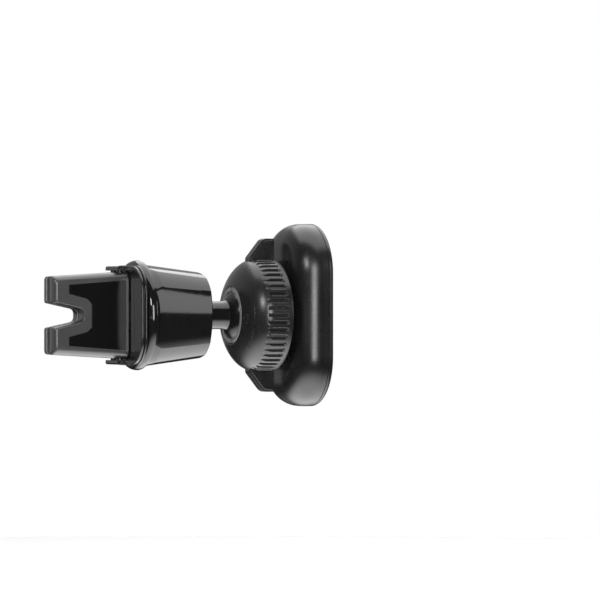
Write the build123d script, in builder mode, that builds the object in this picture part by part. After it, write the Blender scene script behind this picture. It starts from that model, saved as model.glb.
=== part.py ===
from build123d import *
import os
from math import atan, atan2, cos, degrees, radians, sin, sqrt

# Car phone mount: a vent clip with a twist collar, a ball stud, a wing lock nut and a
# magnetic head.  Millimetres.  X runs along the mount from the vent to the phone, Z is
# up, -Y is the clip's left side.  The origin lies between the tips of the two jaws.

os.makedirs("parts", exist_ok=True)

# ---- fits -------------------------------------------------------------------
run_fit = 0.07  # radial play of a turning or sliding fit
part_gap = 0.3  # open gap between bodies that move past each other
seat_gap = 0.1  # gap between loose pieces of one body

# ---- vent clip ----------------------------------------------------------------
jaw_length = 22.0  # tip to rear edge
jaw_tip_half = 10.75  # half height at the tips
jaw_root_half = 12.2  # half height at the rear edge
jaw_gap_half = 0.45  # half the gap between closed jaws
jaw_flare = 0.75  # how far each gripping face leans back at the tip
jaw_thick = 4.1
jaw_edge_round = 3.0
jaw_tip_round = 1.8
jaw_rear_round = 1.5
barrel_inset = 0.35  # hinge barrel inside the core's outer face
notch_depth = 8.8
notch_half = 1.9  # half height of its round bottom
notch_slope = 12.0  # degrees that each side of the notch opens outwards
rubber_edge = 2.2  # rubber around the core, seen from the side
rubber_tip = 4.4
rubber_face = 1.1  # rubber on the gripping face
rubber_proud = 0.1  # rubber border above the core's outer face

pin_radius = 0.75  # hinge pins
pin_from_plate = 2.2
lug_length = 3.7
lug_chamfer = 0.5
lug_thick = 1.2
lug_gap = 0.2  # from the jaw's top edge to the lug
lug_proud = 0.05  # lug beside the jaw's outer face
plate_half_width = 13.8
plate_corner = 8.0
plate_thick = 1.0
plate_gap = 0.4
flange_thick = 0.6
flange_proud = 0.25
peg_radius = 0.9
peg_place = 9.0

tail_lever = 8.8  # hinge pin to the centre of the tail's nose
tail_half = 1.1
tail_half_height = 3.8
nose_offset = 3.0  # nose centre from the middle plane, jaws as drawn
jaw_per_collar = 0.05  # degrees of jaw for a degree of collar
jaw_open = 9.0  # degrees
jaw_close = 1.2
cam_lead = 9.0  # cam groove, mm of travel for a turn
nose_gap = 0.15
nose_clear = 0.9  # jaw's nose to the wedge's round body
blade_half = 0.3  # half thickness of the wedge's thin end
wedge_body = 3.0
wedge_half_height = 3.5
cam_pin_radius = 1.15
cam_groove_radius = 1.3
cam_depth = 0.6  # cam pin's ball centre outside the tube

tube_bore = 6.4
tube_wall = 1.8
journal_step = 1.8  # front journal above the tube
journal_length = 3.2
bulkhead = 2.6
screw_radius = 0.8
screw_head_radius = 1.5
screw_head = 0.8
stud_screw_ring = 4.2
ring_thick = 0.8
ring_groove = 0.7
ring_reach = 1.4  # retaining ring above the tube
ring_from_end = 0.4  # retaining ring to the tube's end
ring_slot = 4.0  # opening of the retaining ring
stud_flange = 1.8
stud_cover = 0.2  # stud's flange beyond the retaining ring, all round
stud_inset = 0.2  # stud's flange inside the collar's back

collar_wall = 1.9  # outside the cam grooves, at the back
collar_taper = 2.0
collar_corner_half = 11.0  # degrees, half of each small corner facet
collar_bulge = 1.4  # rise of each big side over its chord
collar_turned = 3.0  # degrees that the section is turned about X
lip_rise = 1.2
lip_length = 5.2
lip_start_drop = 1.2  # lip's front edge below its crest
lip_end_drop = 0.4  # lip's back edge below the flats
collar_bearing = 1.6  # short bearing at the tube's end
bore_relief = 0.2  # play of the bore between its two bearings
recess_play = 0.4  # round the stud's flange

# ---- ball joint and head --------------------------------------------------------
ball_radius = 8.5
neck_radius = 3.9
neck_length = 15.8  # back of the collar to the centre of the ball
mouth_depth = 5.65  # ball centre to the mouth of the lock nut
mouth_play = 0.15  # slip ring's mouth round the ball
seat_play = 0.08
liner_wall = 0.65
pad_wall = 0.75
liner_hole_angle = 8  # degrees from the +X pole of the ball
liner_edge_angle = 84
pad_angle = 24
recess_angle = 27
socket_wall = 3.55
socket_front = 1.4  # socket's front edge before the ball centre
socket_foot = 10.5
foot_height = 1.3
spigot_wall = 1.1
pole_wall = 1.02  # between the seat pad and the spigot's end
spigot_stand = 0.6  # spigot inside the head, past its wall
mount_screw_room = 2.4  # spigot to the mount screws
slot_width = 1.0
slot_length = 5.9

nut_wall = 2.85  # outside the thread, at the rim
nut_mouth_flat = 0.4
ring_land = 1.3  # the slip ring's face in the nut's mouth
ring_land_depth = 0.9
ring_cone_depth = 2.0  # mouth to the end of the slip ring's cone
ring_cone_rise = 2.3
ring_depth = 3.5
ring_rise = 3.0
ring_notch = 1.8
ring_notch_depth = 0.8
ring_play = 0.15  # slip ring in the nut, along and across
nut_shoulder_depth = 3.7
rim_width = 1.5
rib_length = 6.3
rib_overrun = 1.3  # ribs run this far onto the dome
rib_count = 48
rib_radius = 0.5
wing_span = 21.5
wing_thick = 3.0
wing_base = 8.0
wing_top = 3.3

head_gap = 1.8  # lock nut's rim to the head
head_width = 31.7
head_height = 51.3
head_corner = 14.0
shell_depth = 8.8
back_round = 7.2
shell_wall = 1.8
face_thick = 1.6
face_round = 1.3
pad_border = 2.2
pad_thick = 0.9
pad_proud = 0.5
yoke_depth = 4.8  # head's back to the steel yoke
yoke_thick = 0.8
magnet_radius = 4.0
magnet_thick = 3.0
magnet_pitch_y = 10.2
magnet_pitch_z = 9.6
post_y = 8.0
post_z = 16.5
post_radius = 1.9

# ---- places along the axis, from front to back --------------------------------------
plate_front = jaw_length + plate_gap
flange_front = plate_front + plate_thick
flange_back = flange_front + flange_thick
collar_front = flange_back + part_gap
pivot_x = plate_front - pin_from_plate
pivot_y = jaw_gap_half + jaw_thick / 2
lug_inner = jaw_root_half + lug_gap
lug_outer = lug_inner + lug_thick
plate_half_height = lug_outer
nose_x = pivot_x + tail_lever

wedge_travel_per_degree = cam_lead / 360
wedge_slope = radians(tail_lever * jaw_per_collar) / wedge_travel_per_degree
wedge_open_travel = jaw_open / jaw_per_collar * wedge_travel_per_degree
wedge_close_travel = jaw_close / jaw_per_collar * wedge_travel_per_degree
wedge_half_at_nose = nose_offset - (tail_half + nose_gap) / cos(atan(wedge_slope))
blade_x = nose_x - (wedge_half_at_nose - blade_half) / wedge_slope
wedge_body_x = nose_x + tail_half + nose_clear
wedge_back = wedge_body_x + wedge_body
cam_x = (wedge_body_x + wedge_back) / 2
bulkhead_x = wedge_back + wedge_open_travel + screw_head + part_gap
tube_end = bulkhead_x + bulkhead
collar_back = tube_end + stud_flange + stud_inset
tube_radius = tube_bore + tube_wall
journal_radius = tube_radius + journal_step
stud_flange_radius = tube_radius + ring_reach + stud_cover
ring_x = tube_end - ring_from_end - ring_thick
collar_shoulder = ring_x - 2 * seat_gap
cam_radius = tube_radius + cam_depth
collar_back_apothem = cam_radius + cam_groove_radius + collar_wall
collar_front_apothem = collar_back_apothem + collar_taper
lip_radius = collar_front_apothem + lip_rise

ball_x = collar_back + neck_length
mouth_x = ball_x - mouth_depth
seat_radius = ball_radius + seat_play
mouth_radius = sqrt(seat_radius**2 - mouth_depth**2) + mouth_play
liner_radius = seat_radius + liner_wall
cavity_radius = liner_radius + seat_gap
pad_radius = cavity_radius + pad_wall
recess_radius = pad_radius + seat_gap
thread_radius = cavity_radius + socket_wall
nut_bore = thread_radius + run_fit
nut_radius = nut_bore + nut_wall
land_radius = mouth_radius + ring_land
nut_hole = land_radius + run_fit
spigot_end = ball_x + recess_radius + pole_wall
head_back = spigot_end - shell_wall - spigot_stand
spigot_radius = sqrt(recess_radius**2 - (head_back - ball_x) ** 2) + spigot_wall
mount_screw_ring = spigot_radius + mount_screw_room
nut_back = head_back - head_gap
nut_length = nut_back - mouth_x
nut_shoulder = mouth_x + nut_shoulder_depth
shell_front = head_back + shell_depth
face_front = shell_front + face_thick
yoke_x = head_back + yoke_depth
tray_x = yoke_x + yoke_thick
pad_front = face_front + pad_proud


def rounded_block(width, height, corner, start, length, edge=0.0):
    """A rounded rectangle drawn across the axis, with its start edge rounded."""
    with BuildPart() as block:
        with BuildSketch(Plane.YZ.offset(start)):
            RectangleRounded(width, height, corner)
        extrude(amount=length)
        if edge > 0:
            fillet(block.edges().group_by(Axis.X)[0], radius=edge)
    return block.part


def pan_screw(head_x, tip_x, head_radius, shank_radius):
    """A pan head screw along the axis, its head on the side away from the tip."""
    side = 1 if tip_x > head_x else -1
    with BuildPart() as screw:
        with BuildSketch(Plane.YZ.offset(head_x)):
            Circle(shank_radius)
        extrude(amount=tip_x - head_x)
        with BuildSketch(Plane.YZ.offset(head_x)):
            Circle(head_radius)
        extrude(amount=-side * screw_head)
        with BuildSketch(Plane.YZ.offset(head_x - side * screw_head)):
            Rectangle(head_radius * 1.3, head_radius * 0.28)
            Rectangle(head_radius * 0.28, head_radius * 1.3)
        extrude(amount=side * screw_head * 0.5, mode=Mode.SUBTRACT)
    return screw.part


def write(builder, name):
    """Label a finished piece and write it."""
    builder.part.label = name
    export_step(builder.part, "parts/" + name + ".step")


# ---- jaws: a stiff black core with a rubber sleeve moulded round it ------------------
def half_height(x):
    """Half height of the tapered jaw at x."""
    return jaw_tip_half + (jaw_root_half - jaw_tip_half) * x / jaw_length


def notch(grow, start, depth):
    """The vane notch, grown by a border, as a solid through the left jaw."""
    half = notch_half + grow
    centre = notch_depth - notch_half
    slope = radians(notch_slope)
    touch_x = centre + half * sin(slope)
    touch_z = half * cos(slope)
    mouth_z = touch_z + (touch_x + 1) * sin(slope) / cos(slope)
    with BuildPart() as gap:
        with BuildSketch(Plane.XZ.offset(start)):
            with BuildLine():
                Line((-1, mouth_z), (touch_x, touch_z))
                ThreePointArc((touch_x, touch_z), (centre + half, 0), (touch_x, -touch_z))
                Line((touch_x, -touch_z), (-1, -mouth_z))
                Line((-1, -mouth_z), (-1, mouth_z))
            make_face()
        extrude(amount=depth)
    return gap.part


with BuildPart() as jaw_blank:
    with BuildSketch(Plane.XZ.offset(jaw_gap_half)):
        with BuildLine():
            Polyline(
                (0, -jaw_tip_half),
                (jaw_length, -jaw_root_half),
                (jaw_length, jaw_root_half),
                (0, jaw_tip_half),
                close=True,
            )
        make_face()
    extrude(amount=jaw_thick)
    outer_face = jaw_blank.faces().sort_by(Axis.Y)[0]
    fillet(outer_face.edges().filter_by(Axis.Z, reverse=True), radius=jaw_edge_round)
    tip_edges = jaw_blank.faces().sort_by(Axis.X)[0].edges().filter_by(Axis.Z)
    fillet(tip_edges.sort_by(Axis.Y)[0], radius=jaw_tip_round)
    rear_edges = jaw_blank.faces().sort_by(Axis.X)[-1].edges().filter_by(Axis.Z)
    fillet(rear_edges.sort_by(Axis.Y)[0], radius=jaw_rear_round)
    # the gripping face leans back towards the tip
    with BuildSketch(Plane.XY.offset(-jaw_root_half)):
        with BuildLine():
            Polyline(
                (0, -jaw_gap_half - jaw_flare),
                (notch_depth, -jaw_gap_half),
                (0, -jaw_gap_half),
                close=True,
            )
        make_face()
    extrude(amount=2 * jaw_root_half, mode=Mode.SUBTRACT)
    add(notch(0, 0, jaw_gap_half + jaw_thick + 1), mode=Mode.SUBTRACT)

core_inner = jaw_gap_half + rubber_face
core_outer = jaw_gap_half + jaw_thick - rubber_proud
barrel_half_height = jaw_root_half - 1.7
spring_x = pivot_x - 5.0
spring_pitch = 1.04
spring_seat = 0.15  # each end of the spring to the floor of its pocket
spring_radius = 1.25
spring_wire = 0.22
spring_half_length = 2.6

with BuildPart() as spring_pockets:
    with BuildSketch(Plane.XZ.offset(-spring_half_length - spring_seat)):
        with Locations((spring_x, 0)):
            Circle(spring_radius + spring_wire + part_gap)
    extrude(amount=2 * (spring_half_length + spring_seat))

with BuildPart() as jaw_core_left:
    with BuildSketch(Plane.XZ.offset(core_inner)):
        with BuildLine():
            Polyline(
                (rubber_tip, -half_height(rubber_tip) + rubber_edge),
                (jaw_length, -jaw_root_half + rubber_edge),
                (jaw_length, jaw_root_half - rubber_edge),
                (rubber_tip, half_height(rubber_tip) - rubber_edge),
                close=True,
            )
        make_face()
    extrude(amount=core_outer - core_inner)
    add(notch(rubber_edge, 0, core_outer + 1), mode=Mode.SUBTRACT)
    rear_edges = jaw_core_left.faces().sort_by(Axis.X)[-1].edges().filter_by(Axis.Z)
    fillet(rear_edges.sort_by(Axis.Y)[0], radius=jaw_rear_round)
    # hinge barrel round the pin
    with BuildSketch(Plane.XY.offset(-barrel_half_height)):
        with Locations((pivot_x, -pivot_y)):
            Circle(core_outer - pivot_y - barrel_inset)
    extrude(amount=2 * barrel_half_height)
    # tail with a round nose, which the wedge spreads
    with BuildSketch(Plane.XY.offset(-tail_half_height)):
        with Locations(((pivot_x + nose_x) / 2, -nose_offset)):
            Rectangle(tail_lever, 2 * tail_half)
        with Locations((nose_x, -nose_offset)):
            Circle(tail_half)
    extrude(amount=2 * tail_half_height)

with BuildPart() as jaw_pad_left:
    add(jaw_blank.part)
    add(jaw_core_left.part, mode=Mode.SUBTRACT)
    add(spring_pockets.part, mode=Mode.SUBTRACT)
    with Locations((pivot_x, -pivot_y, 0)):
        Cylinder(pin_radius + 2 * run_fit, 3 * jaw_root_half, mode=Mode.SUBTRACT)

with jaw_core_left:
    add(spring_pockets.part, mode=Mode.SUBTRACT)
    with Locations((pivot_x, -pivot_y, 0)):
        Cylinder(pin_radius + run_fit, 3 * jaw_root_half, mode=Mode.SUBTRACT)

with BuildPart() as jaw_core_right:
    add(jaw_core_left.part)
    mirror(about=Plane.XZ, mode=Mode.REPLACE)

with BuildPart() as jaw_pad_right:
    add(jaw_pad_left.part)
    mirror(about=Plane.XZ, mode=Mode.REPLACE)

write(jaw_core_left, "jaw_core_left")
write(jaw_core_right, "jaw_core_right")
write(jaw_pad_left, "jaw_pad_left")
write(jaw_pad_right, "jaw_pad_right")

# small compression spring between the jaws, which opens them
with BuildPart() as jaw_spring:
    with BuildLine() as coil:
        Helix(
            spring_pitch,
            2 * (spring_half_length - spring_wire),
            spring_radius,
            center=(spring_x, -spring_half_length + spring_wire, 0),
            direction=(0, 1, 0),
        )
    with BuildSketch(Plane(coil.line @ 0, z_dir=coil.line % 0)):
        Circle(spring_wire)
    sweep(path=coil.line, is_frenet=True)
write(jaw_spring, "jaw_spring")

# ---- hinge plate: the clip's front plate, with the lugs that hold the hinge pins -------
lug_half_width = jaw_gap_half + jaw_thick + lug_proud
window_half_width = nose_offset + tail_half + 2 * part_gap
window_half_height = tail_half_height + part_gap + seat_gap
pin_half_length = lug_outer - seat_gap
pocket_size = 1.3
pocket_height = 1.1
pocket_depth = 1.2
pocket_x = plate_front - 2 * pocket_size
pocket_z = (lug_inner + lug_outer) / 2 + 0.05

with BuildPart() as hinge_plate:
    add(rounded_block(2 * plate_half_width, 2 * plate_half_height, plate_corner, plate_front, plate_thick))
    for side in (1, -1):
        with BuildSketch(Plane.XZ.offset(-lug_half_width)):
            with BuildLine():
                Polyline(
                    (plate_front - lug_length, side * lug_inner),
                    (plate_front - lug_length, side * (lug_outer - lug_chamfer)),
                    (plate_front - lug_length + lug_chamfer, side * lug_outer),
                    (plate_front, side * lug_outer),
                    (plate_front, side * lug_inner),
                    close=True,
                )
            make_face()
        extrude(amount=2 * lug_half_width)
        # square moulding pocket in each end of the lug
        for pocket_start in (-lug_half_width, lug_half_width - pocket_depth):
            with BuildSketch(Plane.XZ.offset(pocket_start)):
                with Locations((pocket_x, side * pocket_z)):
                    Rectangle(pocket_size, pocket_height)
            extrude(amount=pocket_depth, mode=Mode.SUBTRACT)
    with BuildSketch(Plane.YZ.offset(plate_front)):
        Rectangle(2 * window_half_width, 2 * window_half_height)
        with GridLocations(2 * peg_place, 2 * peg_place, 2, 2):
            Circle(peg_radius)
    extrude(amount=plate_thick, mode=Mode.SUBTRACT)
    with Locations((pivot_x, pivot_y, 0), (pivot_x, -pivot_y, 0)):
        Cylinder(pin_radius, 3 * lug_outer, mode=Mode.SUBTRACT)
write(hinge_plate, "hinge_plate")

with BuildPart() as hinge_pin_left:
    with Locations((pivot_x, -pivot_y, 0)):
        Cylinder(pin_radius, 2 * pin_half_length)
    chamfer(hinge_pin_left.edges().filter_by(GeomType.CIRCLE), length=0.2)
write(hinge_pin_left, "hinge_pin_left")

with BuildPart() as hinge_pin_right:
    add(hinge_pin_left.part)
    mirror(about=Plane.XZ, mode=Mode.REPLACE)
write(hinge_pin_right, "hinge_pin_right")

# ---- clip housing: flange and tube that everything in the clip is built on --------------
with BuildPart() as clip_housing:
    add(
        rounded_block(
            2 * (plate_half_width + flange_proud),
            2 * (plate_half_height + flange_proud),
            plate_corner + flange_proud,
            flange_front,
            flange_thick,
        )
    )
    with BuildSketch(Plane.YZ.offset(flange_back)):
        Circle(journal_radius)
    extrude(amount=journal_length)
    with BuildSketch(Plane.YZ.offset(flange_back)):
        Circle(tube_radius)
    extrude(amount=tube_end - flange_back)
    with BuildSketch(Plane.YZ.offset(flange_front)):
        with GridLocations(2 * peg_place, 2 * peg_place, 2, 2):
            Circle(peg_radius)
    extrude(amount=seat_gap - plate_thick)
    with BuildSketch(Plane.YZ.offset(flange_front)):
        Circle(tube_bore)
    extrude(amount=bulkhead_x - flange_front, mode=Mode.SUBTRACT)
    # two windows that let the cam pins out of the tube
    window_x = cam_x - wedge_close_travel - cam_pin_radius - seat_gap
    window_end = cam_x + wedge_open_travel + cam_pin_radius + part_gap
    with BuildSketch(Plane.XY.offset(-tube_radius - 1)):
        with Locations(((window_x + window_end) / 2, 0)):
            Rectangle(window_end - window_x, 2 * (cam_pin_radius + run_fit))
    extrude(amount=2 * (tube_radius + 1), mode=Mode.SUBTRACT)
    # groove for the retaining ring
    with BuildSketch(Plane.YZ.offset(ring_x)):
        Circle(tube_radius + 1)
        Circle(tube_radius - ring_groove, mode=Mode.SUBTRACT)
    extrude(amount=ring_thick, mode=Mode.SUBTRACT)
    with BuildSketch(Plane.YZ.offset(bulkhead_x)):
        with PolarLocations(stud_screw_ring, 3):
            Circle(screw_radius + seat_gap)
    extrude(amount=bulkhead, mode=Mode.SUBTRACT)
write(clip_housing, "clip_housing")

with BuildPart() as retaining_ring:
    with BuildSketch(Plane.YZ.offset(ring_x)):
        Circle(tube_radius + ring_reach)
        Circle(tube_radius - ring_groove, mode=Mode.SUBTRACT)
        with Locations((0, tube_radius)):
            Rectangle(ring_slot, 2 * ring_reach + 2 * ring_groove, mode=Mode.SUBTRACT)
    extrude(amount=ring_thick)
write(retaining_ring, "retaining_ring")

# ---- wedge and its cam pins: slide in the tube and spread the tails of the jaws ----------
wedge_radius = tube_bore - run_fit
wedge_root_half = wedge_half_at_nose + (wedge_body_x - nose_x) * wedge_slope

with BuildPart() as jaw_wedge:
    with BuildSketch(Plane.XY.offset(-wedge_half_height)):
        with BuildLine():
            Polyline(
                (blade_x, -blade_half),
                (wedge_body_x, -wedge_root_half),
                (wedge_body_x, wedge_root_half),
                (blade_x, blade_half),
                close=True,
            )
        make_face()
    extrude(amount=2 * wedge_half_height)
    with BuildSketch(Plane.YZ.offset(wedge_body_x)):
        Circle(wedge_radius)
    extrude(amount=wedge_body)
    with Locations((cam_x, 0, 0)):
        Cylinder(cam_pin_radius, 3 * wedge_radius, mode=Mode.SUBTRACT)
write(jaw_wedge, "jaw_wedge")

with BuildPart() as cam_pins:
    with BuildSketch(Plane.XY.offset(2.0)):
        with Locations((cam_x, 0)):
            Circle(cam_pin_radius)
    extrude(amount=cam_radius - 2.0)
    with Locations((cam_x, 0, cam_radius)):
        Sphere(cam_pin_radius)
    mirror(about=Plane.XY)
write(cam_pins, "cam_pins")


# ---- twist collar: turning it drives the cam pins along the tube ---------------------------
def faceted_section(x, apothem):
    """The collar across its axis: four big convex sides and four small corner facets."""
    half_side = 45 - collar_corner_half
    corner = (apothem - collar_bulge) / cos(radians(half_side))

    def at(angle, radius):
        return (radius * cos(radians(angle)), radius * sin(radians(angle)))

    with BuildSketch(Plane.YZ.offset(x)) as section:
        with BuildLine():
            for quarter in range(4):
                middle = collar_turned + 90 * quarter
                start = at(middle - half_side, corner)
                end = at(middle + half_side, corner)
                next_start = at(middle + 90 - half_side, corner)
                ThreePointArc(start, at(middle, apothem), end)
                ThreePointArc(end, at(middle + 45, corner), next_start)
        make_face()
    return section.sketch


lip_end = collar_front + lip_length
with BuildPart() as twist_collar:
    front_section = faceted_section(lip_end - 0.2 * lip_length, collar_front_apothem)
    back_section = faceted_section(collar_back, collar_back_apothem)
    loft([front_section, back_section], ruled=True)
    with BuildSketch(Plane.XZ):
        with BuildLine():
            Line((collar_front, 0), (collar_front, lip_radius - lip_start_drop))
            ThreePointArc(
                (collar_front, lip_radius - lip_start_drop),
                (collar_front + 0.4 * lip_length, lip_radius),
                (lip_end, collar_front_apothem - lip_end_drop),
            )
            Line((lip_end, collar_front_apothem - lip_end_drop), (lip_end, 0))
            Line((lip_end, 0), (collar_front, 0))
        make_face()
    revolve(axis=Axis.X)
    # bores: front journal, tube and the recess behind the retaining ring
    with BuildSketch(Plane.XZ):
        with BuildLine():
            Polyline(
                (collar_front - 1, 0),
                (collar_front - 1, journal_radius + run_fit),
                (flange_back + journal_length + part_gap, journal_radius + run_fit),
                (flange_back + journal_length + part_gap, tube_radius + bore_relief),
                (collar_shoulder - collar_bearing, tube_radius + bore_relief),
                (collar_shoulder - collar_bearing, tube_radius + run_fit),
                (collar_shoulder, tube_radius + run_fit),
                (collar_shoulder, stud_flange_radius + recess_play),
                (collar_back + 1, stud_flange_radius + recess_play),
                (collar_back + 1, 0),
                close=True,
            )
        make_face()
    revolve(axis=Axis.X, mode=Mode.SUBTRACT)
    # two cam grooves, open to the front journal so that the pins can be screwed in
    groove_overrun = 1.0
    groove_x = flange_back + journal_length - groove_overrun
    groove_length = cam_x + wedge_open_travel + groove_overrun - groove_x
    cam_helix = Helix(
        cam_lead,
        groove_length,
        cam_radius,
        center=(groove_x, 0, 0),
        direction=(1, 0, 0),
        lefthand=True,
        mode=Mode.PRIVATE,
    )
    helix_start = degrees(atan2((cam_helix @ 0).Z, (cam_helix @ 0).Y))
    angle_at_pin = helix_start - 360 * (cam_x - groove_x) / cam_lead
    for pin_angle in (90, 270):
        groove = cam_helix.rotate(Axis.X, pin_angle - angle_at_pin)
        with BuildSketch(Plane(groove @ 0, z_dir=groove % 0)):
            Circle(cam_groove_radius)
        sweep(path=groove, is_frenet=True, mode=Mode.SUBTRACT)
write(twist_collar, "twist_collar")

# ---- ball stud ----------------------------------------------------------------------------
stud_screw_skin = 0.4  # left in the flange past each screw's tip
stud_screw_tip = tube_end + stud_flange - stud_screw_skin
neck_meets_ball = ball_x - sqrt(ball_radius**2 - neck_radius**2)
with BuildPart() as ball_stud:
    with BuildSketch(Plane.XZ):
        with BuildLine():
            Polyline(
                (ball_x + ball_radius, 0),
                (tube_end, 0),
                (tube_end, stud_flange_radius),
                (tube_end + stud_flange, stud_flange_radius),
                (tube_end + stud_flange, neck_radius),
                (neck_meets_ball, neck_radius),
            )
            ThreePointArc(
                (neck_meets_ball, neck_radius),
                (ball_x, ball_radius),
                (ball_x + ball_radius, 0),
            )
        make_face()
    revolve(axis=Axis.X)
    with BuildSketch(Plane.YZ.offset(tube_end)):
        with PolarLocations(stud_screw_ring, 3):
            Circle(screw_radius)
    extrude(amount=stud_screw_tip - tube_end, mode=Mode.SUBTRACT)
write(ball_stud, "ball_stud")

with BuildPart() as stud_screws:
    for place in PolarLocations(stud_screw_ring, 3):
        with Locations((0, place.position.X, place.position.Y)):
            add(pan_screw(bulkhead_x, stud_screw_tip, screw_head_radius, screw_radius))
write(stud_screws, "stud_screws")


# ---- ball joint: liner, seat pad and socket -------------------------------------------------
def spherical_shell(inner, outer, from_angle, to_angle):
    """A shell about the ball's centre, between two angles from the +X pole."""
    with BuildPart() as shell:
        with BuildSketch(Plane.XZ):
            with BuildLine():
                outside = CenterArc((ball_x, 0), outer, from_angle, to_angle - from_angle)
                inside = CenterArc((ball_x, 0), inner, from_angle, to_angle - from_angle)
                Line(outside @ 0, inside @ 0)
                Line(outside @ 1, inside @ 1)
            make_face()
        revolve(axis=Axis.X)
    return shell.part


with BuildPart() as ball_liner:
    add(spherical_shell(seat_radius, liner_radius, liner_hole_angle, liner_edge_angle))
write(ball_liner, "ball_liner")

with BuildPart() as seat_pad:
    add(spherical_shell(cavity_radius, pad_radius, 0, pad_angle))
write(seat_pad, "seat_pad")

socket_x = ball_x - socket_front
foot_x = head_back - foot_height
mount_screw_head = head_back + shell_wall
mount_screw_grip = 2.4  # thread in the socket's foot
mount_screw_tip = head_back - mount_screw_grip
mount_place = mount_screw_ring / sqrt(2)
with BuildPart() as ball_socket:
    with BuildSketch(Plane.YZ.offset(socket_x)):
        Circle(thread_radius)
    extrude(amount=foot_x - socket_x)
    with BuildSketch(Plane.YZ.offset(foot_x)):
        Circle(socket_foot)
    extrude(amount=foot_height)
    with BuildSketch(Plane.YZ.offset(head_back)):
        Circle(spigot_radius)
    extrude(amount=spigot_end - head_back)
    # round seat for the liner, with a deeper recess for the seat pad
    with BuildSketch(Plane.XZ):
        with BuildLine():
            recess = CenterArc((ball_x, 0), recess_radius, 0, recess_angle)
            seat = CenterArc((ball_x, 0), cavity_radius, recess_angle, 100 - recess_angle)
            Line(recess @ 1, seat @ 0)
            Polyline(seat @ 1, (socket_x - 1, cavity_radius), (socket_x - 1, 0), recess @ 0)
        make_face()
    revolve(axis=Axis.X, mode=Mode.SUBTRACT)
    # slots that let the socket's wall spring
    with BuildSketch(Plane.YZ.offset(socket_x)):
        Rectangle(3 * thread_radius, slot_width)
        Rectangle(slot_width, 3 * thread_radius)
    extrude(amount=slot_length, mode=Mode.SUBTRACT)
    with BuildSketch(Plane.YZ.offset(head_back)):
        with GridLocations(2 * mount_place, 2 * mount_place, 2, 2):
            Circle(screw_radius)
    extrude(amount=mount_screw_tip - head_back, mode=Mode.SUBTRACT)
write(ball_socket, "ball_socket")

with BuildPart() as socket_screws:
    for place in GridLocations(2 * mount_place, 2 * mount_place, 2, 2):
        with Locations((0, place.position.X, place.position.Y)):
            add(pan_screw(mount_screw_head, mount_screw_tip, screw_head_radius, screw_radius))
write(socket_screws, "socket_screws")

# ---- slip ring: presses on the ball when the lock nut is tight --------------------------------
ring_back = mouth_x + ring_depth
ring_back_seat = sqrt(seat_radius**2 - (ball_x - ring_back) ** 2)
lip_seat_x = ball_x - sqrt(seat_radius**2 - mouth_radius**2)
with BuildPart() as slip_ring:
    with BuildSketch(Plane.XZ):
        with BuildLine():
            Polyline(
                (lip_seat_x, mouth_radius),
                (mouth_x, mouth_radius),
                (mouth_x, land_radius),
                (mouth_x + ring_land_depth, land_radius),
                (mouth_x + ring_cone_depth, land_radius + ring_cone_rise),
                (ring_back, land_radius + ring_rise),
                (ring_back, ring_back_seat),
            )
            RadiusArc((ring_back, ring_back_seat), (lip_seat_x, mouth_radius), -seat_radius)
        make_face()
    revolve(axis=Axis.X)
    with BuildSketch(Plane.YZ.offset(mouth_x)):
        Rectangle(ring_notch, 3 * land_radius)
    extrude(amount=ring_notch_depth, mode=Mode.SUBTRACT)
write(slip_ring, "slip_ring")

# ---- lock nut: a ribbed dome with two wings ------------------------------------------------------
dome_length = nut_length - rib_length + rib_overrun
wing_root = nut_bore + 1.2  # inside the nut's wall
wing_sink = 0.2  # front of the wing's foot below the ribs
mouth_edge = nut_hole + nut_mouth_flat
dome_rise = nut_radius - mouth_edge


def on_dome(along, out):
    """A point of the dome's profile from fractions of its length and rise."""
    return (mouth_x + along * dome_length, mouth_edge + out * dome_rise)


with BuildPart() as wing:
    with BuildSketch(Plane.XZ.offset(-wing_thick / 2)):
        with BuildLine():
            Polyline(
                (nut_back - wing_base, wing_root),
                (nut_back - wing_base, nut_radius - wing_sink),
                (nut_back - wing_top, wing_span),
                (nut_back, wing_span),
                (nut_back, wing_root),
                close=True,
            )
        make_face()
    extrude(amount=wing_thick)
    wing_edges = wing.edges().filter_by(Axis.Y).group_by(Axis.Z)
    fillet(wing_edges[-1], radius=1.0)
    fillet(wing_edges[1], radius=1.5)
    flat_faces = wing.faces().filter_by(Axis.Y)
    fillet(flat_faces.edges().filter_by_position(Axis.Z, nut_radius, wing_span + 1), radius=0.5)

with BuildPart() as lock_nut:
    with BuildSketch(Plane.XZ):
        with BuildLine():
            Bezier(on_dome(0, 0), on_dome(0.12, 0.38), on_dome(0.45, 1), on_dome(1, 1))
            Polyline(
                on_dome(1, 1),
                (nut_back, nut_radius),
                (nut_back, nut_bore),
                (nut_shoulder, nut_bore),
                (nut_shoulder, land_radius + ring_rise + ring_play),
                (ring_back - ring_play, land_radius + ring_rise + ring_play),
                (mouth_x + ring_cone_depth - ring_play, land_radius + ring_cone_rise + ring_play),
                (mouth_x + ring_land_depth - ring_play, nut_hole),
                (mouth_x, nut_hole),
                on_dome(0, 0),
            )
        make_face()
    revolve(axis=Axis.X)
    rim_edges = lock_nut.edges().filter_by(GeomType.CIRCLE).group_by(Axis.X)[-1]
    fillet(rim_edges.sort_by(SortBy.RADIUS)[-1], radius=0.4)
    with BuildSketch(Plane.YZ.offset(nut_back - rim_width - rib_length)):
        with PolarLocations(nut_radius - 0.1, rib_count, start_angle=180 / rib_count):
            Circle(rib_radius)
    extrude(amount=rib_length, mode=Mode.SUBTRACT)
    add(wing.part)
    add(wing.part.mirror(Plane.XY))
write(lock_nut, "lock_nut")

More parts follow.
